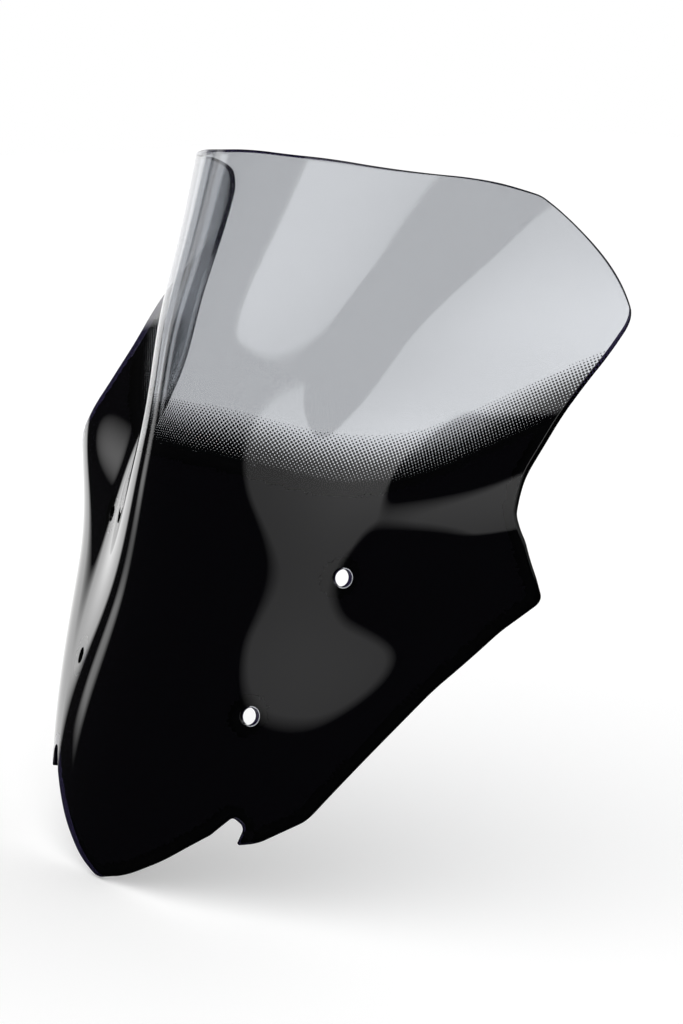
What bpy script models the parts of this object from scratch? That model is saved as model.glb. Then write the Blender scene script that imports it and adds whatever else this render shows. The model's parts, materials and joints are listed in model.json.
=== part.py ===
"""Touring windshield screen for a motorcycle: a thermoformed acrylic sheet
with the black screen print on its inner face.

Axes: +X is the left-to-right width, -Y is the front of the screen, +Z is up.
The tables below are in millimetres; everything built from them is in metres.
"""

import math

import bmesh
import bpy
import numpy as np
from mathutils import Matrix, Vector

MM = 0.001

# ---------------------------------------------------------------- dimensions
SHEET_THICKNESS = 3.5
PRINT_GAP = 0.3  # clearance kept between the sheet and the print solids
PRINT_THICKNESS = 0.3
PRINT_INSET = 0.6  # the print stops this far short of the trimmed edge

# The form of the outer face, at stations up the screen.
STATION_Z = (0, 75, 150, 215, 265, 305, 350, 405)
RIDGE_Y = (-6.3, 12.6, 32.5, 43.5, 53, 63, 82.5, 106.5)  # how far back the centreline leans
CROWN_R = (240, 225, 150, 108, 90, 97, 122, 160)  # radius of the central arch
SHOULDER_X = (82, 77, 86, 85, 97, 106, 124, 150)  # where the arch turns into wing
SHOULDER_W = (60, 70, 81, 89, 94, 85, 65, 50)  # width that the turn takes
WING_SLOPE = (0.28, 0.37, 0.36, 0.25, 0.22, 0.43, 0.78, 0.90)  # setback per mm of X

# The side flange is turned back along a crease, given as (x, z) in front view.
CREASE_LOW = (95, 44)
CREASE_HIGH = (202, 222)
FLANGE_SLOPE = 0.43
FLANGE_BLEND = 14.0

# The trimmed outline in front view, right half: x, z, corner radius.
BOTTOM_EDGE = ((0, 1.2, 20), (22, 7.6, 150), (48, 21.3, 150), (76, 41.2, 8), (92.5, 38.2, 3))
FLANGE_FOOT = ((92.5, 38.2, 3), (103, 40.5, 25), (125, 55.5, 20))
FLANGE_SIDE = ((125, 55.5, 20), (172.5, 130, 120), (199, 163.5, 80), (217, 181, 7))
EAR_TOP = ((201, 226, 14), (209, 212, 25), (214.5, 193, 30), (217, 181, 7))
WING_SIDE = ((201, 226, 14), (196, 245, 40), (196.5, 273, 90), (201.8, 304, 60), (200.8, 322.5, 20))
WING_TOP = ((200.8, 322.5, 20), (143.5, 383, 12))
TOP_EDGE = ((0, 405, 400), (60, 402, 300), (125, 392.5, 60), (143.5, 383, 12))

# Lines across the sheet, from the centreline to the side, as x, z points.
LOWER_LINE = ((0, 212), (50, 204), (96, 198), (150, 207), (201, 226))
PRINT_LINE = ((0, 242), (50, 238.5), (93, 230), (148, 245.6), (196.5, 277))
FADE_LINE = ((0, 268.5), (50, 264.5), (92.5, 255), (133, 267), (200, 309))
UPPER_LINE = ((0, 334), (50, 332), (100, 326), (150, 323), (200, 325))

# Mounting holes, x and z, right half.
HOLES = ((83, 106), (111, 182))
HOLE_D = 9.5
PRINT_HOLE_D = 11.0
SEAT_D = 18.0
SEAT_DEPTH = 0.35

# The hooked notch between the front panel and the flange, as x, z points.
NOTCH = (
    (64, 26), (79.5, 44.8), (83.2, 48.4), (86.2, 50.7), (88.6, 51.5), (90.8, 50.9),
    (92.8, 49.3), (94.0, 47.2), (94.1, 44.6), (93.3, 42.2), (92.4, 40.2), (92.2, 37), (91, 26),
)

# Cells across and up each region of the sheet.
ACROSS = 22
FLANGE_ACROSS = 6
ROWS_LOWER, ROWS_BELOW_PRINT, ROWS_FADE, ROWS_UPPER, ROWS_TOP = 16, 4, 3, 6, 8


# ------------------------------------------------------------------ the form
def natural_cubic(knots, values):
    """The smooth curve through the stations."""
    x = np.array(knots, float)
    y = np.array(values, float)
    n = len(x)
    h = np.diff(x)
    a = np.zeros((n, n))
    b = np.zeros(n)
    a[0, 0] = a[-1, -1] = 1.0
    for i in range(1, n - 1):
        a[i, i - 1], a[i, i], a[i, i + 1] = h[i - 1], 2 * (h[i - 1] + h[i]), h[i]
        b[i] = 6 * ((y[i + 1] - y[i]) / h[i] - (y[i] - y[i - 1]) / h[i - 1])
    m = np.linalg.solve(a, b)

    def value(t):
        t = np.clip(t, x[0], x[-1])
        i = np.clip(np.searchsorted(x, t) - 1, 0, n - 2)
        p, q, k = x[i + 1] - t, t - x[i], h[i]
        bend = (m[i] * p**3 + m[i + 1] * q**3) / (6 * k)
        return bend + (y[i] / k - m[i] * k / 6) * p + (y[i + 1] / k - m[i + 1] * k / 6) * q

    return value


ridge_at = natural_cubic(STATION_Z, RIDGE_Y)
crown_at = natural_cubic(STATION_Z, CROWN_R)
shoulder_at = natural_cubic(STATION_Z, SHOULDER_X)
width_at = natural_cubic(STATION_Z, SHOULDER_W)
wing_at = natural_cubic(STATION_Z, WING_SLOPE)
GAUSS_T, GAUSS_W = np.polynomial.legendre.leggauss(32)
GAUSS_T, GAUSS_W = (GAUSS_T + 1) / 2, GAUSS_W / 2


def ease(t):
    t = np.clip(t, 0, 1)
    return t**3 * (10 - 15 * t + 6 * t * t)


def setback(x, z):
    """How far back the outer face lies at (x, z): the section's slope,
    a circular crown eased into a straight wing, summed out from the
    centreline, and the flange turned back beyond its crease."""
    x, z = np.abs(np.asarray(x, float)), np.asarray(z, float)
    at = x[..., None] * GAUSS_T
    u = np.minimum(at / crown_at(z)[..., None], 0.86)
    w = width_at(z)[..., None]
    turn = ease((at - shoulder_at(z)[..., None] + w / 2) / w)
    slope = (1 - turn) * u / np.sqrt(1 - u * u) + turn * wing_at(z)[..., None]
    y = ridge_at(z) + np.minimum(z, 0) * 0.26 + x * (slope * GAUSS_W).sum(-1)
    along = np.subtract(CREASE_HIGH, CREASE_LOW) / math.dist(CREASE_HIGH, CREASE_LOW)
    d = (x - CREASE_LOW[0]) * along[1] - (z - CREASE_LOW[1]) * along[0]
    return y + FLANGE_SLOPE * 0.5 * (d + np.sqrt(d * d + FLANGE_BLEND**2))


def on_face(x, z):
    return Vector((float(x), float(setback(x, z)), float(z)))


def outward(x, z, step=0.5):
    """Unit normal of the outer face, pointing to the front."""
    dx = on_face(x + step, z) - on_face(x - step, z)
    dz = on_face(x, z + step) - on_face(x, z - step)
    return dx.cross(dz).normalized()


# --------------------------------------------------------------- the outline
def rounded(points, before=None, after=None):
    """The polyline with its inner corners replaced by arcs. The first and the
    last point are rounded too where the point beyond them is given."""
    chain = [Vector(p[:2]) for p in points]
    radii = [p[2] for p in points]
    beyond = [Vector(before) if before else None, *chain, Vector(after) if after else None]
    out = []
    for i, corner in enumerate(chain):
        a, b = beyond[i], beyond[i + 2]
        if a is None or b is None:
            out.append(corner)
            continue
        u, v = (a - corner).normalized(), (b - corner).normalized()
        half = math.acos(max(-1.0, min(1.0, u.dot(v)))) / 2
        reach = min(radii[i] / math.tan(half), 0.45 * (a - corner).length, 0.45 * (b - corner).length)
        radius = reach * math.tan(half)
        centre = corner + (u + v).normalized() * (radius / math.sin(half))
        arc = []
        for k in range(13):
            t = k / 12
            p = (corner + u * reach).lerp(corner + v * reach, t) - centre
            arc.append(centre + p.normalized() * radius)
        if before and i == 0:
            arc = arc[6:]
        if after and i == len(chain) - 1:
            arc = arc[:7]
        out.extend(arc)
    return np.array([tuple(p) for p in out])


def along_curve(points, t):
    """Points at the fractions t of a polyline's length."""
    points = np.asarray(points, float)
    s = np.concatenate([[0], np.cumsum(np.hypot(*np.diff(points, axis=0).T))])
    return np.column_stack([np.interp(np.asarray(t) * s[-1], s, points[:, k]) for k in (0, 1)])


def across_line(points, end):
    """A level line of the sheet: flat where it meets the centreline, and
    ending on the outline at the given point."""
    xs, zs = np.array(points, float).T
    xs[-1], zs[-1] = end
    curve = natural_cubic(np.concatenate([-xs[:0:-1], xs]), np.concatenate([zs[:0:-1], zs]))
    x = np.linspace(0, xs[-1], 80)
    return np.column_stack([x, curve(x)])


def mirrored(point):
    return (-point[0], point[1])


tip = rounded(BOTTOM_EDGE, before=mirrored(BOTTOM_EDGE[1]), after=FLANGE_FOOT[1][:2])
foot = rounded(FLANGE_FOOT, before=BOTTOM_EDGE[-2][:2], after=FLANGE_SIDE[1][:2])
flange_side = rounded(FLANGE_SIDE, before=FLANGE_FOOT[-2][:2], after=EAR_TOP[-2][:2])
ear_top = rounded(EAR_TOP, before=WING_SIDE[1][:2], after=FLANGE_SIDE[-2][:2])
wing_side = rounded(WING_SIDE, before=EAR_TOP[1][:2], after=WING_TOP[1][:2])
wing_top = rounded(WING_TOP, before=WING_SIDE[-2][:2], after=TOP_EDGE[-2][:2])
top_edge = rounded(TOP_EDGE, before=mirrored(TOP_EDGE[1]), after=WING_TOP[-2][:2])


def part_of(curve, low, high):
    """The stretch of a side between two heights."""
    z = curve[:, 1]
    keep = curve[(z > low + 1e-6) & (z < high - 1e-6)]
    ends = [[np.interp(v, z, curve[:, 0]), v] for v in (low, high)]
    return np.vstack([ends[:1], keep, ends[1:]])


def end_at(curve, z):
    return float(np.interp(z, curve[:, 1], curve[:, 0])), z


def ridge(low, high):
    return np.array([(0.0, low), (0.0, high)])


side_from = wing_side[0]
side_to = wing_side[-1]
lower_line = across_line(LOWER_LINE, side_from)
print_line = across_line(PRINT_LINE, end_at(wing_side, PRINT_LINE[-1][1]))
fade_line = across_line(FADE_LINE, end_at(wing_side, FADE_LINE[-1][1]))
upper_line = across_line(UPPER_LINE, side_to)
crease = np.array([tip[-1], side_from])

# Each region: its lower, upper, inner and outer side, its columns and rows.
REGIONS = {
    "lower": (tip, lower_line, ridge(tip[0][1], LOWER_LINE[0][1]), crease, ACROSS, ROWS_LOWER),
    "flange": (foot, ear_top, crease, flange_side, FLANGE_ACROSS, ROWS_LOWER),
    "below_print": (
        lower_line, print_line, ridge(LOWER_LINE[0][1], PRINT_LINE[0][1]),
        part_of(wing_side, side_from[1], PRINT_LINE[-1][1]), ACROSS, ROWS_BELOW_PRINT,
    ),
    "fade": (
        print_line, fade_line, ridge(PRINT_LINE[0][1], FADE_LINE[0][1]),
        part_of(wing_side, PRINT_LINE[-1][1], FADE_LINE[-1][1]), ACROSS, ROWS_FADE,
    ),
    "upper": (
        fade_line, upper_line, ridge(FADE_LINE[0][1], UPPER_LINE[0][1]),
        part_of(wing_side, FADE_LINE[-1][1], side_to[1]), ACROSS, ROWS_UPPER,
    ),
    "top": (upper_line, top_edge, ridge(UPPER_LINE[0][1], top_edge[0][1]), wing_top, ACROSS, ROWS_TOP),
}


def region_points(name, u, v):
    """(x, z) inside a region, blended between its four sides."""
    low, high, inner, outer = (np.asarray(side) for side in REGIONS[name][:4])
    a, b = along_curve(low, u), along_curve(high, u)
    c, d = along_curve(inner, v), along_curve(outer, v)
    u, v = u[:, None], v[:, None]
    flat = (1 - v) * a + v * b + (1 - u) * c + u * d
    corners = (1 - u) * ((1 - v) * a_at(low, 0) + v * a_at(high, 0)) + u * (
        (1 - v) * a_at(low, 1) + v * a_at(high, 1)
    )
    return flat - corners


def a_at(curve, t):
    return along_curve(curve, [t])[0]


# ---------------------------------------------------------------- the pieces
def new_object(name, bm, collection):
    mesh = bpy.data.meshes.new(name)
    bm.to_mesh(mesh)
    bm.free()
    obj = bpy.data.objects.new(name, mesh)
    collection.objects.link(obj)
    return obj


def face_mesh(regions, depth):
    """Both halves of the named regions as one open surface, lying the given
    depth behind the outer face, with its normals to the front."""
    bm = bmesh.new()
    for side in (1, -1):
        for name in regions:
            columns, rows = REGIONS[name][4:]
            made = bmesh.ops.create_grid(bm, x_segments=columns, y_segments=rows, size=0.5)["verts"]
            uv = np.array([(v.co.x + 0.5, v.co.y + 0.5) for v in made])
            flat = region_points(name, uv[:, 0], uv[:, 1])
            for vert, (x, z) in zip(made, flat):
                x = 0.0 if x < 1e-6 else side * x
                vert.co = (on_face(x, z) - outward(x, z) * depth) * MM
    bmesh.ops.remove_doubles(bm, verts=bm.verts, dist=0.00002)
    bmesh.ops.recalc_face_normals(bm, faces=bm.faces)
    bm.faces.ensure_lookup_table()
    if sum(f.normal.y * f.calc_area() for f in bm.faces) > 0:
        bmesh.ops.reverse_faces(bm, faces=bm.faces)
    return bm


def trim_back(bm, inset):
    """Takes a narrow strip off all round an open surface."""
    faces = list(bm.faces)
    ring = bmesh.ops.inset_region(
        bm, faces=faces, thickness=inset * MM, use_boundary=True, use_even_offset=True
    )["faces"]
    bmesh.ops.delete(bm, geom=ring, context="FACES")
    return bm


def thicken(obj, thickness):
    solid = obj.modifiers.new("thickness", "SOLIDIFY")
    solid.thickness = thickness * MM
    solid.offset = -1
    solid.use_even_offset = True


def cut(obj, cutter):
    boolean = obj.modifiers.new(cutter.name, "BOOLEAN")
    boolean.operation = "DIFFERENCE"
    boolean.solver = "EXACT"
    boolean.object = cutter


def cylinders(name, collection, diameter, front, back):
    """One cylinder square to the sheet at each hole, from front mm before the
    outer face to back mm behind it."""
    bm = bmesh.new()
    for side in (1, -1):
        for x, z in HOLES:
            axis = outward(side * x, z)
            middle = on_face(side * x, z) + axis * (front - back) / 2
            turn = axis.to_track_quat("Z", "Y").to_matrix().to_4x4()
            bmesh.ops.create_cone(
                bm, cap_ends=True, segments=40, radius1=diameter / 2 * MM, radius2=diameter / 2 * MM,
                depth=(front + back) * MM, matrix=Matrix.Translation(middle * MM) @ turn,
            )
    return new_object(name, bm, collection)


def notch_prisms(name, collection, grow):
    """The notch at each side, cut square to the sheet."""
    bm = bmesh.new()
    centre = Vector((88, 44))
    for side in (1, -1):
        axis = outward(side * centre.x, centre.y)
        rings = []
        for offset in (8, -14):
            ring = []
            for x, z in NOTCH:
                p = Vector((x, z)) - centre
                p = centre + p * (1 + grow / p.length)
                ring.append(bm.verts.new((on_face(side * p.x, p.y) + axis * offset) * MM))
            rings.append(ring)
        bm.faces.new(rings[0])
        bm.faces.new(rings[1][::-1])
        for i in range(len(NOTCH)):
            j = (i + 1) % len(NOTCH)
            bm.faces.new((rings[0][j], rings[0][i], rings[1][i], rings[1][j]))
    bmesh.ops.recalc_face_normals(bm, faces=bm.faces)
    return new_object(name, bm, collection)


def material(name, colour, roughness, metallic=0.0, transmission=0.0, alpha=1.0):
    made = bpy.data.materials.new(name)
    made.use_nodes = True
    shader = made.node_tree.nodes["Principled BSDF"]
    shader.inputs["Base Color"].default_value = (*colour, 1)
    shader.inputs["Roughness"].default_value = roughness
    shader.inputs["Metallic"].default_value = metallic
    shader.inputs["Transmission Weight"].default_value = transmission
    shader.inputs["IOR"].default_value = 1.49
    shader.inputs["Alpha"].default_value = alpha
    return made


for old in list(bpy.data.objects):
    bpy.data.objects.remove(old, do_unlink=True)
screen = bpy.data.collections.new("windshield_screen")
cutters = bpy.data.collections.new("cutters")
bpy.context.scene.collection.children.link(screen)
bpy.context.scene.collection.children.link(cutters)

hole_cutter = cylinders("hole_cutter", cutters, HOLE_D, 8, 12)
seat_cutter = cylinders("seat_cutter", cutters, SEAT_D, 8, SEAT_DEPTH)
print_hole_cutter = cylinders("print_hole_cutter", cutters, PRINT_HOLE_D, 8, 12)
notch_cutter = notch_prisms("notch_cutter", cutters, 0)
print_notch_cutter = notch_prisms("print_notch_cutter", cutters, 0.8)

# The acrylic sheet, its outer face on the form and its thickness behind it.
sheet = new_object("screen_sheet", face_mesh(REGIONS, 0), screen)
thicken(sheet, SHEET_THICKNESS)
cut(sheet, seat_cutter)
cut(sheet, hole_cutter)
cut(sheet, notch_cutter)
sheet.data.materials.append(material("smoke_acrylic", (0.42, 0.43, 0.45), 0.03, transmission=0.9))

# The print on the inner face: solid black below, the fade band above it.
behind = SHEET_THICKNESS + PRINT_GAP
black = new_object(
    "black_print", trim_back(face_mesh(("lower", "flange", "below_print"), behind), PRINT_INSET), screen
)
thicken(black, PRINT_THICKNESS)
cut(black, print_hole_cutter)
cut(black, print_notch_cutter)
black.data.materials.append(material("black_print_ink", (0.004, 0.004, 0.005), 0.35))

fade = new_object("fade_print", trim_back(face_mesh(("fade",), behind), PRINT_INSET), screen)
thicken(fade, PRINT_THICKNESS)
fade.data.materials.append(material("halftone_ink", (0.01, 0.01, 0.012), 0.4, alpha=0.6))

for helper in cutters.objects:
    helper.hide_render = True
    helper.display_type = "WIRE"

# The origin goes to the middle of the whole screen's box, at its lowest point.
bpy.context.view_layer.update()
graph = bpy.context.evaluated_depsgraph_get()
box = [Vector(c) for c in sheet.evaluated_get(graph).bound_box]
low = Vector([min(c[i] for c in box) for i in range(3)])
high = Vector([max(c[i] for c in box) for i in range(3)])
shift = Vector((0, (low.y + high.y) / 2, low.z))
for obj in (*screen.objects, *cutters.objects):
    obj.location = -shift
for obj in screen.objects:
    obj.data.shade_smooth()
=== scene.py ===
"""Looks for the motorcycle windshield screen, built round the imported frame.

The acrylic sheet is remade from the same form as the CAD node, much finer and
with rounded, polished edges. The ink layer and the dots of its fade band are
thin pieces on the sheet's inner face. Lengths in the tables are millimetres.
"""

import json
import math

import bpy
import numpy as np
from mathutils import Matrix, Vector
from mathutils.geometry import delaunay_2d_cdt
from mathutils.kdtree import KDTree


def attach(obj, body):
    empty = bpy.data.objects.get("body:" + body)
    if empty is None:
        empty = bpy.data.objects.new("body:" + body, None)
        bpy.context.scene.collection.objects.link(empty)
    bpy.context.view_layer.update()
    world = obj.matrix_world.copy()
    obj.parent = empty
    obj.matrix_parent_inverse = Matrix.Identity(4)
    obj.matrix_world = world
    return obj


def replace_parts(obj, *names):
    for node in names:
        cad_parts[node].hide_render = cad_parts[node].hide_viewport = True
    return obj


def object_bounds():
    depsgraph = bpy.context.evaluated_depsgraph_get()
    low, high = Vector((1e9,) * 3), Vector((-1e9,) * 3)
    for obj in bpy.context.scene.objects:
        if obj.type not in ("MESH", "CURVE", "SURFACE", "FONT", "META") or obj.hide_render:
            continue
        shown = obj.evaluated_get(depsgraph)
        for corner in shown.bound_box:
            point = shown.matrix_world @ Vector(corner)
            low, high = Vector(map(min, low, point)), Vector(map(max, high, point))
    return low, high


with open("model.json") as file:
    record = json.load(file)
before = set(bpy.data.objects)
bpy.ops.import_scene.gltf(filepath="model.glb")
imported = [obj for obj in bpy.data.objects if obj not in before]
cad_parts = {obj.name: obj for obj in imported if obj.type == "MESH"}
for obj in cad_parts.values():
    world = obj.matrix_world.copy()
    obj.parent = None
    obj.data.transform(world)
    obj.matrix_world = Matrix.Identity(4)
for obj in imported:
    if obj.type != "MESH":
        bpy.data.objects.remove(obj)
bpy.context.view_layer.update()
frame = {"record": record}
MM = 0.001

# ------------------------------------------------------------------ the form
THICK = 3.5
STATION_Z = (0, 75, 150, 215, 265, 305, 350, 405)
RIDGE_Y = (-6.3, 12.6, 32.5, 43.5, 53, 63, 82.5, 106.5)
CROWN_R = (240, 225, 150, 108, 90, 97, 122, 160)
SHOULDER_X = (82, 77, 86, 85, 97, 106, 124, 150)
SHOULDER_W = (60, 70, 81, 89, 94, 85, 65, 50)
WING_SLOPE = (0.28, 0.37, 0.36, 0.25, 0.22, 0.43, 0.78, 0.90)
CREASE_LOW = (95, 44)
CREASE_HIGH = (202, 222)
FLANGE_SLOPE = 0.43
FLANGE_BLEND = 14.0

# The trimmed outline in front view, right half: x, z, corner radius.
OUTLINE = (
    (0, 1.2, 20), (22, 7.6, 150), (48, 21.3, 150), (75.9, 40.9, 6),
    (87.6, 53.2, 4), (95.3, 48.6, 4), (92.3, 38.1, 1.2),
    (103, 40.5, 25), (125, 55.5, 20), (172.5, 130, 120), (199, 163.5, 80), (217, 181, 7),
    (214.5, 193, 30), (209, 212, 25), (201, 226, 14),
    (196, 245, 40), (196.5, 273, 90), (201.8, 304, 60), (200.8, 322.5, 20),
    (143.5, 383, 12), (125, 392.5, 60), (60, 402, 300), (0, 405, 400),
)
PRINT_LINE = ((0, 242), (50, 238.5), (93, 230), (148, 245.6), (196.5, 277))
FADE_LINE = ((0, 268.5), (50, 264.5), (92.5, 255), (133, 267), (200, 309))
HOLES = ((83, 106), (111, 182))
HOLE_R = 4.75
PRINT_HOLE_R = 5.6
SEAT_DEPTH = 0.35


def natural_cubic(knots, values):
    x = np.array(knots, float)
    y = np.array(values, float)
    n = len(x)
    h = np.diff(x)
    a = np.zeros((n, n))
    b = np.zeros(n)
    a[0, 0] = a[-1, -1] = 1.0
    for i in range(1, n - 1):
        a[i, i - 1], a[i, i], a[i, i + 1] = h[i - 1], 2 * (h[i - 1] + h[i]), h[i]
        b[i] = 6 * ((y[i + 1] - y[i]) / h[i] - (y[i] - y[i - 1]) / h[i - 1])
    m = np.linalg.solve(a, b)

    def value(t):
        t = np.clip(t, x[0], x[-1])
        i = np.clip(np.searchsorted(x, t) - 1, 0, n - 2)
        p, q, k = x[i + 1] - t, t - x[i], h[i]
        bend = (m[i] * p**3 + m[i + 1] * q**3) / (6 * k)
        return bend + (y[i] / k - m[i] * k / 6) * p + (y[i + 1] / k - m[i + 1] * k / 6) * q

    return value


ridge_at = natural_cubic(STATION_Z, RIDGE_Y)
crown_at = natural_cubic(STATION_Z, CROWN_R)
shoulder_at = natural_cubic(STATION_Z, SHOULDER_X)
width_at = natural_cubic(STATION_Z, SHOULDER_W)
wing_at = natural_cubic(STATION_Z, WING_SLOPE)
GAUSS_T, GAUSS_W = np.polynomial.legendre.leggauss(160)
GAUSS_T, GAUSS_W = (GAUSS_T + 1) / 2, GAUSS_W / 2


def ease(t):
    t = np.clip(t, 0, 1)
    return t**3 * (10 - 15 * t + 6 * t * t)


def section_slope(at, z):
    """How steeply a level section runs back: a round crown, then a wing."""
    u = 0.86 - 0.02 * np.logaddexp(0, (0.86 - at / crown_at(z)) / 0.02)
    w = width_at(z)
    turn = ease((at - shoulder_at(z) + w / 2) / w)
    return (1 - turn) * u / np.sqrt(1 - u * u) + turn * wing_at(z)


def setback(x, z):
    x, z = np.abs(np.asarray(x, float)), np.asarray(z, float)
    slope = section_slope(x[..., None] * GAUSS_T, z[..., None])
    y = ridge_at(z) + np.minimum(z, 0) * 0.26 + x * (slope * GAUSS_W).sum(-1)
    along = np.subtract(CREASE_HIGH, CREASE_LOW) / math.dist(CREASE_HIGH, CREASE_LOW)
    d = (x - CREASE_LOW[0]) * along[1] - (z - CREASE_LOW[1]) * along[0]
    return y + FLANGE_SLOPE * 0.5 * (d + np.sqrt(d * d + FLANGE_BLEND**2))


def face_points(xz):
    xz = np.asarray(xz, float)
    return np.column_stack([xz[:, 0], setback(xz[:, 0], xz[:, 1]), xz[:, 1]])


def face_normals(xz, step=1.0):
    """Unit normals of the outer face, pointing to the front."""
    xz = np.asarray(xz, float)
    dx = face_points(xz + [step, 0]) - face_points(xz - [step, 0])
    dz = face_points(xz + [0, step]) - face_points(xz - [0, step])
    n = np.cross(dx, dz)
    return n / np.linalg.norm(n, axis=1)[:, None]


# The form is placed on the frame by one of the mounts, whose seat it carries.
mounts = {m["name"]: np.array(m["pos_m"]) / MM for m in frame["record"]["mounts"]}
seat_xz = np.array([HOLES[0]], float)
seat_n = face_normals(seat_xz)[0]
seat_up = np.array([0, 0, 1.0]) - seat_n * seat_n[2]
seat_up /= np.linalg.norm(seat_up)
SHIFT = face_points(seat_xz)[0] - seat_n * SEAT_DEPTH + seat_up * 6.9 - mounts["screw_seat_low_left"]


# --------------------------------------------------------------- the outline
def rounded(points):
    """The half outline with its corners replaced by arcs, mirrored where it
    meets the centreline, and split into short steps."""
    chain = [np.array(p[:2], float) for p in points]
    flip = np.array([-1.0, 1.0])
    chain = [chain[1] * flip, *chain, chain[-2] * flip]
    out = []
    for i in range(1, len(chain) - 1):
        corner, radius = chain[i], points[i - 1][2]
        a, b = chain[i - 1] - corner, chain[i + 1] - corner
        la, lb = np.linalg.norm(a), np.linalg.norm(b)
        u, v = a / la, b / lb
        half = math.acos(np.clip(u @ v, -1, 1)) / 2
        reach = min(radius / math.tan(half), 0.45 * la, 0.45 * lb)
        radius = reach * math.tan(half)
        way = (u + v) / np.linalg.norm(u + v)
        centre = corner + way * radius / math.sin(half)
        steps = max(6, int(reach * 2 / 1.2))
        arc = []
        for k in range(steps + 1):
            p = corner + u * reach + (v - u) * reach * k / steps - centre
            arc.append(centre + p / np.linalg.norm(p) * radius)
        if i == 1:
            arc = [p for p in arc if p[0] > 1e-6]
            arc.insert(0, np.array([0.0, (centre - way * radius)[1]]))
        if i == len(chain) - 2:
            arc = [p for p in arc if p[0] > 1e-6]
            arc.append(np.array([0.0, (centre - way * radius)[1]]))
        out.extend(arc)
    dense = [out[0]]
    for p in out[1:]:
        gap = np.linalg.norm(p - dense[-1])
        if gap < 0.15:
            continue
        n = max(1, int(math.ceil(gap / 1.6)))
        start = dense[-1]
        dense.extend(start + (p - start) * k / n for k in range(1, n + 1))
    return np.array(dense)


def loop_frames(loop):
    """Normals, and outward directions along the face, at a closed loop."""
    p = face_points(loop)
    n = face_normals(loop)
    t = np.roll(p, -1, 0) - np.roll(p, 1, 0)
    b = np.cross(t, n)
    return p, n, b / np.linalg.norm(b, axis=1)[:, None]


half = rounded(OUTLINE)
outline = np.vstack([half, (half[1:-1] * [-1, 1])[::-1]])  # counter-clockwise from the front


def pulled_in(loop, inset):
    p, _, b = loop_frames(loop)
    return (p - b * inset)[:, [0, 2]]


def circle(x, z, radius, count):
    """A true circle square to the face, clockwise so that it bounds a hole."""
    here = np.array([[x, z]], float)
    p, n = face_points(here)[0], face_normals(here)[0]
    up = np.array([0, 0, 1.0]) - n * n[2]
    up /= np.linalg.norm(up)
    side = np.cross(n, up)
    a = -np.arange(count) * 2 * math.pi / count * (1 if x > 0 else 1)
    ring = p + radius * (np.cos(a)[:, None] * up - np.sin(a)[:, None] * side)
    xz = ring[:, [0, 2]]
    area = (xz[:, 0] * np.roll(xz[:, 1], -1) - np.roll(xz[:, 0], -1) * xz[:, 1]).sum()
    return xz if area < 0 else xz[::-1]


def inside(points, loop):
    x, z = points[:, 0], points[:, 1]
    found = np.zeros(len(points), bool)
    x0, z0 = loop.T
    x1, z1 = np.roll(loop, -1, 0).T
    for a, b, c, d in zip(x0, z0, x1, z1):
        if b == d:
            continue
        crosses = (b > z) != (d > z)
        found ^= crosses & (x < (c - a) * (z - b) / (d - b) + a)
    return found


def mesh_of_region(loops, spacing):
    """Triangles over the area inside the first loop and outside the others:
    the loops' points first, then a staggered grid of points between them."""
    edge = np.vstack(loops)
    tree = KDTree(len(edge))
    for i, (x, z) in enumerate(edge):
        tree.insert((x, z, 0), i)
    tree.balance()
    low, high = edge.min(0), edge.max(0)
    rise = spacing * 0.866
    rows = np.arange(math.ceil(low[1] / rise), math.floor(high[1] / rise) + 1)
    most = int(math.ceil(np.abs([low[0], high[0]]).max() / spacing)) + 1
    grid = []
    for row in rows:
        x = (np.arange(-most, most + 1) + (0.5 if row % 2 else 0.0)) * spacing
        grid.append(np.column_stack([x, np.full(len(x), row * rise)]))
    grid = np.vstack(grid)
    keep = inside(grid, loops[0])
    for hole in loops[1:]:
        keep &= ~inside(grid, hole)
    grid = grid[keep]
    grid = np.array([p for p in grid if tree.find((p[0], p[1], 0))[2] > spacing * 0.55])
    points = np.vstack([edge, grid])
    edges, start = [], 0
    for loop in loops:
        n = len(loop)
        edges += [(start + k, start + (k + 1) % n) for k in range(n)]
        start += n
    verts, _, faces, origin, _, _ = delaunay_2d_cdt(
        [Vector(p) for p in points], edges, [], 0, 1e-6, True
    )
    if len(verts) != len(points):
        raise RuntimeError("the outline crosses itself")
    order = [o[0] for o in origin]
    tri = np.array([[order[i] for i in f] for f in faces])
    middle = points[tri].mean(1)
    keep = inside(middle, loops[0])
    for hole in loops[1:]:
        keep &= ~inside(middle, hole)
    tri = tri[keep]
    a, b, c = points[tri[:, 0]], points[tri[:, 1]], points[tri[:, 2]]
    turn = (b[:, 0] - a[:, 0]) * (c[:, 1] - a[:, 1]) - (b[:, 1] - a[:, 1]) * (c[:, 0] - a[:, 0])
    tri[turn < 0] = tri[turn < 0][:, ::-1]
    return points, tri


def add_object(name, points, faces, normals=None, material_index=None):
    mesh = bpy.data.meshes.new(name)
    mesh.from_pydata((np.asarray(points) - SHIFT) * MM, [], [tuple(int(i) for i in f) for f in faces])
    mesh.update()
    mesh.shade_smooth()
    if material_index is not None:
        mesh.polygons.foreach_set("material_index", np.asarray(material_index, np.int32))
    if normals is not None:
        mesh.normals_split_custom_set_from_vertices(np.asarray(normals, np.float32))
    obj = bpy.data.objects.new(name, mesh)
    bpy.context.scene.collection.objects.link(obj)
    return obj


def line_height(points):
    xs, zs = np.array(points, float).T
    curve = natural_cubic(np.concatenate([-xs[:0:-1], xs]), np.concatenate([zs[:0:-1], zs]))
    last, before = xs[-1], xs[-1] - 1.0
    slope = float(curve(last) - curve(before))
    return lambda x: np.where(np.abs(x) <= last, curve(x), curve(last) + (np.abs(x) - last) * slope)


print_z = line_height(PRINT_LINE)
fade_z = line_height(FADE_LINE)

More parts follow.
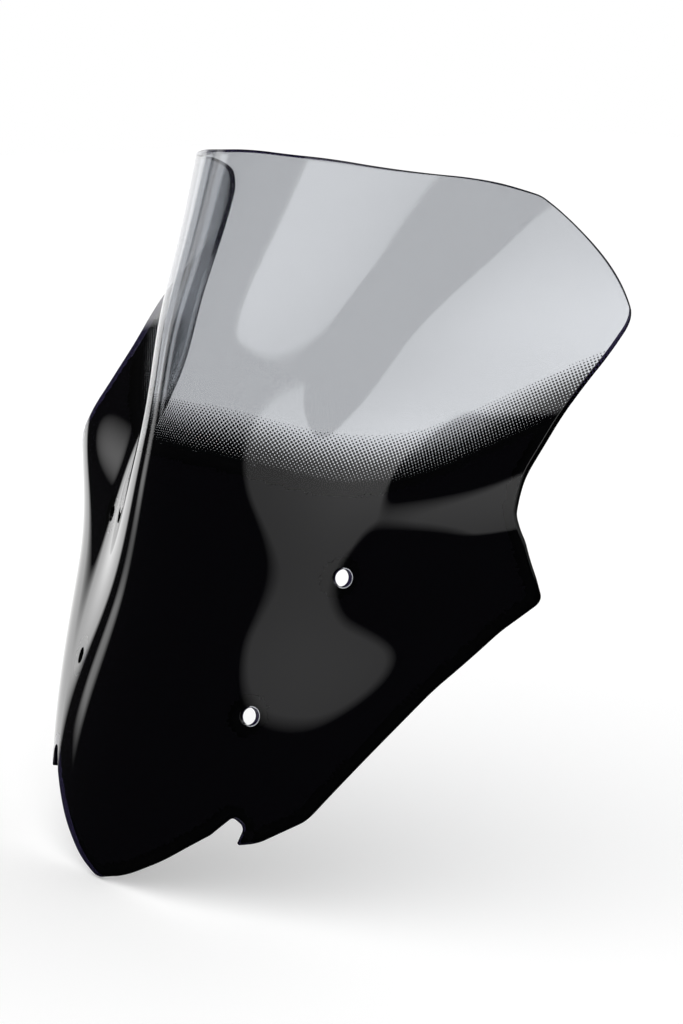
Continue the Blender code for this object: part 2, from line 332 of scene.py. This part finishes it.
# ------------------------------------------------------------- acrylic sheet
EDGE_R = 0.75
HOLE_EDGE_R = 0.35


def build_sheet():
    """The closed sheet: outer face, inner face, and a rounded edge between
    them round the outline and round each hole."""
    rims = [outline]
    radii = [EDGE_R]
    faces_loops = [pulled_in(outline, EDGE_R)]
    for x, z in HOLES:
        for side in (1, -1):
            rims.append(circle(side * x, z, HOLE_R, 64))
            radii.append(HOLE_EDGE_R)
            faces_loops.append(circle(side * x, z, HOLE_R + HOLE_EDGE_R, 64))
    xz, tri = mesh_of_region(faces_loops, 2.6)
    outer = face_points(xz)
    normal = face_normals(xz)
    inner = outer - normal * THICK
    n = len(xz)
    points = [outer, inner]
    normals = [normal, -normal]
    faces = [tuple(t) for t in tri] + [(t[2] + n, t[1] + n, t[0] + n) for t in tri]
    # Behind these faces the ink takes all the light that enters the sheet.
    middle = xz[tri].mean(1)
    backed = (middle[:, 1] < print_z(middle[:, 0]) - 7) & inside(middle, pulled_in(outline, 7))
    for x, z in HOLES:
        backed &= np.hypot(np.abs(middle[:, 0]) - x, middle[:, 1] - z) > 11
    kinds = list(np.where(backed, 3, 0)) + [1] * len(tri)
    total, start = 2 * n, 0
    turns = np.radians([18, 36, 54, 72, 90])
    for rim, radius in zip(rims, radii):
        count = len(rim)
        _, nn, bb = loop_frames(rim)
        front, back = outer[start : start + count], inner[start : start + count]
        rows = [np.arange(start, start + count)]
        for a in turns:
            points.append(front + bb * radius * math.sin(a) - nn * radius * (1 - math.cos(a)))
            normals.append(nn * math.cos(a) + bb * math.sin(a))
            rows.append(np.arange(total, total + count))
            total += count
        for a in turns[::-1]:
            points.append(back + bb * radius * math.sin(a) + nn * radius * (1 - math.cos(a)))
            normals.append(-nn * math.cos(a) + bb * math.sin(a))
            rows.append(np.arange(total, total + count))
            total += count
        rows.append(np.arange(start + n, start + n + count))
        for r0, r1 in zip(rows, rows[1:]):
            for k in range(count):
                m = (k + 1) % count
                faces.append((r0[m], r0[k], r1[k], r1[m]))
                kinds.append(2)
        start += count
    sheet = add_object("acrylic_sheet", np.vstack(points), faces, np.vstack(normals), kinds)
    return sheet


# ----------------------------------------------------------------- ink layer
INK_INSET = 0.35
INK_IN, INK_OUT = 0.05, 0.06  # how far the layer reaches into the sheet and out of it


def build_ink():
    edge = pulled_in(outline, INK_INSET)
    below = edge[:, 1] < print_z(edge[:, 0])
    right = edge[(edge[:, 0] >= 0) & below]
    last = np.argmax(right[:, 1])
    right = right[: last + 1]
    left = (right[1:] * [-1, 1])[::-1]
    x = right[-1, 0]
    for _ in range(20):  # where the line meets the inset outline
        z = float(print_z(x))
        upper = edge[(edge[:, 0] > 150) & (edge[:, 1] > 228) & (edge[:, 1] < 320)]
        upper = upper[np.argsort(upper[:, 1])]
        x = float(np.interp(z, upper[:, 1], upper[:, 0]))
    right = right[(right[:, 1] < z - 0.8) | (right[:, 0] < 150)]
    left = (right[1:] * [-1, 1])[::-1]
    across = np.linspace(x, -x, 330)
    line = np.column_stack([across, print_z(across)])
    loop = np.vstack([right, line, left])
    loops = [loop]
    for hx, hz in HOLES:
        for side in (1, -1):
            loops.append(circle(side * hx, hz, PRINT_HOLE_R, 56))
    xz, tri = mesh_of_region(loops, 4.0)
    p, nrm = face_points(xz), face_normals(xz)
    front, back = p - nrm * (THICK - INK_IN), p - nrm * (THICK + INK_OUT)
    n = len(xz)
    faces = [tuple(t) for t in tri] + [(t[2] + n, t[1] + n, t[0] + n) for t in tri]
    start = 0
    for lp in loops:
        count = len(lp)
        for k in range(count):
            m = (k + 1) % count
            faces.append((start + m, start + k, start + k + n, start + m + n))
        start += count
    kinds = [0] * len(tri) + [1] * (len(faces) - len(tri))
    return add_object("ink_layer", np.vstack([front, back]), faces, None, kinds)


# ----------------------------------------------------------------- fade dots
ROW_PITCH = 2.7  # between dots along a row
ROW_RISE = 1.15  # between rows, which are staggered


def cell_cover(r):
    """Share of a diamond cell covered by a dot of radius r, in cell units."""
    a = (np.arange(720) + 0.5) * math.pi / 360
    reach = np.minimum(r, 1 / (np.abs(np.cos(a)) + np.abs(np.sin(a))))
    return float((reach**2).mean() * math.pi / 2)


RADII = np.linspace(0.05, 1.0, 120)
COVERS = np.array([cell_cover(r) for r in RADII])


def build_dots(name, side):
    """The dots of one half. They grow down the band until they run together,
    and the gaps between them close where the full print starts."""
    x_table = np.linspace(0, 215, 1076)
    slope = np.gradient(setback(x_table, np.full(len(x_table), 258.0)), x_table)
    arc = np.concatenate([[0], np.cumsum((np.hypot(1, slope)[1:] + np.hypot(1, slope)[:-1]) / 2 * 0.2)])
    upper = pulled_in(outline, INK_INSET)
    upper = upper[(upper[:, 0] > 150) & (upper[:, 1] > 228) & (upper[:, 1] < 322)]
    upper = upper[np.argsort(upper[:, 1])]

    def place(u, w):
        s = u * ROW_PITCH / 2
        x = np.interp(s, arc, x_table)
        rise = ROW_RISE * (1.14 - 0.27 * ease((x - 20) / 110))
        dip = 0.16 * (np.sqrt(s * s + 40.0**2) - 40.0)
        z = 244 + w * rise - dip
        return x, z

    corners = np.arange(16) * math.pi / 8
    limit = 1.004 / (np.abs(np.cos(corners)) + np.abs(np.sin(corners)))
    points, faces, total = [], [], 0
    for j in range(-40, 130):
        for i in range(0, 240):
            if (i + j) % 2 or (side < 0 and i == 0):
                continue
            x, z = place(np.array([float(i)]), np.array([float(j)]))
            x, z = float(x[0]), float(z[0])
            top, low = float(fade_z(x)), float(print_z(x))
            v = (top - z) / (top - low)
            if v < 0 or z < low - 0.9 or x > float(np.interp(z, upper[:, 1], upper[:, 0])) + 0.4:
                continue
            cover = 1 - 0.95 * (1 - min(v, 1.0)) ** 1.75
            r = float(np.interp(cover, COVERS, RADII)) if cover < 0.995 else 1.05
            reach = np.minimum(r, limit)
            px, pz = place(np.abs(i + reach * np.cos(corners)), j + reach * np.sin(corners))
            px = np.where(i + reach * np.cos(corners) < 0, -px, px)
            px = np.minimum(px, np.interp(pz, upper[:, 1], upper[:, 0]))
            xz = np.column_stack([px * side, pz])
            p, nrm = face_points(xz), face_normals(xz)
            front, back = p - nrm * (THICK - INK_IN + 0.01), p - nrm * (THICK + INK_OUT - 0.01)
            points.append(np.vstack([front, back]))
            a, b = list(range(total, total + 16)), list(range(total + 16, total + 32))
            if side < 0:
                a, b = a[::-1], b[::-1]
            faces.append(tuple(a))
            faces.append(tuple(b[::-1]))
            for k in range(16):
                m = (k + 1) % 16
                faces.append((a[m], a[k], b[k], b[m]))
            total += 32
    made = add_object(name, np.vstack(points), faces, None, ([0] + [1] * 17) * (len(faces) // 18))
    made.data.shade_flat()
    return made


# ----------------------------------------------------------------- materials
def new_material(name):
    made = bpy.data.materials.new(name)
    made.use_nodes = True
    nodes = made.node_tree.nodes
    nodes.clear()
    return made, nodes, made.node_tree.links


def node(nodes, kind, **inputs):
    made = nodes.new(kind)
    for key, value in inputs.items():
        key = key.replace("_", " ")
        made.inputs[key].default_value = value
    return made


def acrylic(name, facing_on, tint, smooth, from_within=None):
    """One surface of the smoke-tinted sheet. Light goes straight on through
    it, dimmed by half the sheet's tint, or is reflected as by clear acrylic,
    with faint wiping marks in the gloss."""
    made, nodes, links = new_material(name)
    out = nodes.new("ShaderNodeOutputMaterial")
    place = nodes.new("ShaderNodeTexCoord")
    stretch = nodes.new("ShaderNodeMapping")
    stretch.inputs["Scale"].default_value = (1, 1, 0.25)
    marks = nodes.new("ShaderNodeTexNoise")
    marks.inputs["Scale"].default_value = 26
    marks.inputs["Detail"].default_value = 5
    spread = nodes.new("ShaderNodeMapRange")
    spread.inputs["From Min"].default_value = 0.45
    spread.inputs["From Max"].default_value = 0.75
    spread.inputs["To Min"].default_value = smooth
    spread.inputs["To Max"].default_value = smooth * 1.5 + 0.012
    links.new(place.outputs["Object"], stretch.inputs["Vector"])
    links.new(stretch.outputs["Vector"], marks.inputs["Vector"])
    links.new(marks.outputs["Fac"], spread.inputs["Value"])
    uneven = nodes.new("ShaderNodeTexNoise")
    uneven.inputs["Scale"].default_value = 7
    links.new(place.outputs["Object"], uneven.inputs["Vector"])
    shade = nodes.new("ShaderNodeMix")
    shade.data_type = "RGBA"
    shade.inputs["A"].default_value = (*[c * 0.985 for c in tint], 1)
    shade.inputs["B"].default_value = (*[c * 1.015 for c in tint], 1)
    links.new(uneven.outputs["Fac"], shade.inputs["Factor"])
    clear = nodes.new("ShaderNodeBsdfTransparent")
    links.new(shade.outputs["Result"], clear.inputs["Color"])
    gloss = nodes.new("ShaderNodeBsdfAnisotropic")
    gloss.inputs["Color"].default_value = (1, 1, 1, 1)
    links.new(spread.outputs["Result"], gloss.inputs["Roughness"])
    tilt = nodes.new("ShaderNodeLayerWeight")
    tilt.inputs["Blend"].default_value = 0.5
    fifth = nodes.new("ShaderNodeMath")
    fifth.operation = "POWER"
    fifth.inputs[1].default_value = 5
    links.new(tilt.outputs["Facing"], fifth.inputs[0])
    share = nodes.new("ShaderNodeMath")
    share.operation = "MULTIPLY_ADD"
    side = nodes.new("ShaderNodeNewGeometry")
    base = nodes.new("ShaderNodeMapRange")
    base.inputs["To Min"].default_value = facing_on
    base.inputs["To Max"].default_value = facing_on if from_within is None else from_within
    links.new(side.outputs["Backfacing"], base.inputs["Value"])
    share.inputs[1].default_value = 1 - facing_on
    links.new(base.outputs["Result"], share.inputs[2])
    share.use_clamp = True
    links.new(fifth.outputs[0], share.inputs[0])
    mix = nodes.new("ShaderNodeMixShader")
    links.new(share.outputs[0], mix.inputs["Fac"])
    links.new(clear.outputs["BSDF"], mix.inputs[1])
    links.new(gloss.outputs["BSDF"], mix.inputs[2])
    links.new(mix.outputs["Shader"], out.inputs["Surface"])
    return made


def backed_acrylic(name, facing_on):
    """The outer surface where the print lies behind it."""
    made = acrylic(name, facing_on, (0.01, 0.01, 0.01), 0.0)
    nodes, links = made.node_tree.nodes, made.node_tree.links
    mix = next(n for n in nodes if n.type == "MIX_SHADER")
    dark = nodes.new("ShaderNodeBsdfDiffuse")
    dark.inputs["Color"].default_value = (0.0013, 0.0012, 0.0018, 1)
    links.new(dark.outputs["BSDF"], mix.inputs[1])
    return made


def ink(name, value, gloss):
    """Screen-print ink: deep black, with the faint mesh grain and uneven
    gloss that a print shows from its open side."""
    made, nodes, links = new_material(name)
    out = nodes.new("ShaderNodeOutputMaterial")
    shader = nodes.new("ShaderNodeBsdfPrincipled")
    shader.inputs["Base Color"].default_value = (value, value, value * 1.15, 1)
    shader.inputs["IOR"].default_value = 1.45
    place = nodes.new("ShaderNodeTexCoord")
    grain = nodes.new("ShaderNodeTexNoise")
    grain.inputs["Scale"].default_value = 900
    grain.inputs["Detail"].default_value = 2
    broad = nodes.new("ShaderNodeTexNoise")
    broad.inputs["Scale"].default_value = 14
    links.new(place.outputs["Object"], grain.inputs["Vector"])
    links.new(place.outputs["Object"], broad.inputs["Vector"])
    rough = nodes.new("ShaderNodeMapRange")
    rough.inputs["To Min"].default_value = 0.34
    rough.inputs["To Max"].default_value = 0.5
    links.new(broad.outputs["Fac"], rough.inputs["Value"])
    links.new(rough.outputs["Result"], shader.inputs["Roughness"])
    bump = nodes.new("ShaderNodeBump")
    bump.inputs["Strength"].default_value = 0.15
    bump.inputs["Distance"].default_value = 0.00005
    links.new(grain.outputs["Fac"], bump.inputs["Height"])
    links.new(bump.outputs["Normal"], shader.inputs["Normal"])
    shader.inputs["Specular IOR Level"].default_value = gloss
    links.new(shader.outputs["BSDF"], out.inputs["Surface"])
    return made


FACE_TINT = (0.760, 0.772, 0.792)
EDGE_TINT = (0.022, 0.018, 0.045)

sheet = build_sheet()
for made in (
    acrylic("acrylic_outer_face", 0.042, FACE_TINT, 0.0),
    acrylic("acrylic_inner_face", 0.05, FACE_TINT, 0.0, 0.30),
    acrylic("acrylic_polished_edge", 0.05, EDGE_TINT, 0.06),
    backed_acrylic("acrylic_over_print", 0.042),
):
    sheet.data.materials.append(made)
covered, opened = ink("print_under_acrylic", 0.0022, 0.0), ink("print_open_side", 0.004, 0.3)
layer = build_ink()
dots_right = build_dots("fade_dots_left_half", 1)
dots_left = build_dots("fade_dots_right_half", -1)
for made in (layer, dots_right, dots_left):
    made.data.materials.append(covered)
    made.data.materials.append(opened)

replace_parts(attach(sheet, "root"), "screen_sheet")
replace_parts(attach(layer, "root"), "black_print")
for dots in (dots_right, dots_left):
    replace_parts(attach(dots, "root"), "fade_print")

# --------------------------------------------------------------------- stage
scene = bpy.context.scene
scene.view_settings.view_transform = "Standard"
scene.view_settings.look = "None"
low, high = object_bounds()

floor_mesh = bpy.data.meshes.new("floor")
floor_mesh.from_pydata([(-6, -6, 0), (6, -6, 0), (6, 6, 0), (-6, 6, 0)], [], [(0, 1, 2, 3)])
floor = bpy.data.objects.new("floor", floor_mesh)
floor.location.z = low.z - 0.0005
scene.collection.objects.link(floor)
made, nodes, links = new_material("pale_floor")
out = nodes.new("ShaderNodeOutputMaterial")
paint = nodes.new("ShaderNodeBsdfDiffuse")
paint.inputs["Color"].default_value = (0.88, 0.88, 0.88, 1)
glow = nodes.new("ShaderNodeEmission")
glow.inputs["Strength"].default_value = 0.17
both = nodes.new("ShaderNodeAddShader")
links.new(paint.outputs["BSDF"], both.inputs[0])
links.new(glow.outputs["Emission"], both.inputs[1])
links.new(both.outputs["Shader"], out.inputs["Surface"])
floor.data.materials.append(made)
floor.visible_glossy = False

# The studio: white for what is seen directly or through the sheet, and dark
# with soft boxes for what the sheet reflects. Each box is given by its corners
# as directions: degrees round from the front towards +X, and degrees up.
world = bpy.data.worlds.new("studio")
scene.world = world
world.use_nodes = True
nodes, links = world.node_tree.nodes, world.node_tree.links
nodes.clear()


def sum_of(kind, *values, clamp=False):
    made = nodes.new("ShaderNodeMath")
    made.operation = kind
    made.use_clamp = clamp
    for slot, value in zip(made.inputs, values):
        if hasattr(value, "links"):
            links.new(value, slot)
        else:
            slot.default_value = value
    return made.outputs[0]


way = nodes.new("ShaderNodeSeparateXYZ")
where = nodes.new("ShaderNodeTexCoord")
links.new(where.outputs["Generated"], way.inputs[0])
azimuth = sum_of("MULTIPLY", sum_of("ARCTAN2", way.outputs[0], sum_of("MULTIPLY", way.outputs[1], -1.0)), 180 / math.pi)
height = sum_of("MULTIPLY", sum_of("ARCSINE", way.outputs[2]), 180 / math.pi)


def soft_box(corners, strength, soft=2.0):
    """The light of one convex box, fading out over `soft` degrees."""
    corners = np.array(corners, float)
    if (corners[:, 0] * np.roll(corners[:, 1], -1) - np.roll(corners[:, 0], -1) * corners[:, 1]).sum() < 0:
        corners = corners[::-1]
    total = strength
    for a, b in zip(corners, np.roll(corners, -1, 0)):
        along = (b - a) / np.linalg.norm(b - a)
        # distance inside this side, in units of the fade
        gap = sum_of(
            "ADD",
            sum_of("MULTIPLY", azimuth, float(-along[1] / soft)),
            sum_of("MULTIPLY_ADD", height, float(along[0] / soft), float((along[1] * a[0] - along[0] * a[1]) / soft + 0.5)),
            clamp=True,
        )
        total = sum_of("MULTIPLY", total, gap)
    return total


def add_lights(lights):
    total = 0.0
    for light in lights:
        total = sum_of("ADD", total, light)
    return total


rising = sum_of("MULTIPLY_ADD", height, 0.012, 0.5)
key_light = soft_box(((-48, 84), (-40, 47), (-27, 29), (-16, 20), (48, 3), (50, 12), (53, 30), (56, 84)), 1.0)
light = add_lights(
    [
        # the key box in front and above, brighter towards its top
        sum_of("MULTIPLY", key_light, rising),
        # a large box on the left, and a slim one beside it
        soft_box(((-135, -24), (-135, 36), (-95, 36), (-95, -24)), 1.3, 3.0),
        soft_box(((-85, -5), (-85, 20), (-79, 20), (-79, -5)), 1.1, 3.0),
        # two boxes behind, for the inner side
        soft_box(((112, 8), (112, 52), (168, 52), (168, 8)), 0.9, 4.0),
        soft_box(((-176, 10), (-176, 40), (-150, 40), (-150, 10)), 0.6, 4.0),
    ]
)
white = nodes.new("ShaderNodeBackground")
white.inputs["Color"].default_value = (1, 1, 1, 1)
room = nodes.new("ShaderNodeBackground")
room.inputs["Color"].default_value = (1, 1, 1, 1)
links.new(sum_of("ADD", light, 0.012), room.inputs["Strength"])
path = nodes.new("ShaderNodeLightPath")
mix = nodes.new("ShaderNodeMixShader")
links.new(path.outputs["Is Glossy Ray"], mix.inputs["Fac"])
links.new(white.outputs["Background"], mix.inputs[1])
links.new(room.outputs["Background"], mix.inputs[2])
out = nodes.new("ShaderNodeOutputWorld")
links.new(mix.outputs["Shader"], out.inputs["Surface"])

# -------------------------------------------------------------------- camera
camera = bpy.data.objects.new("camera", bpy.data.cameras.new("camera"))
scene.collection.objects.link(camera)
scene.camera = camera
camera.data.lens = 88.56
camera.data.sensor_width = 36
camera.data.sensor_fit = "AUTO"
camera.location = (Vector((1143.80, -741.81, 484.30)) - Vector(SHIFT)) * MM
right = Vector((0.62388, 0.78152, 0.0))
up = Vector((-0.154473, 0.123314, 0.980271))
camera.rotation_mode = "QUATERNION"
camera.rotation_quaternion = Matrix((right, up, right.cross(up))).transposed().to_quaternion()
camera.data.clip_end = 50
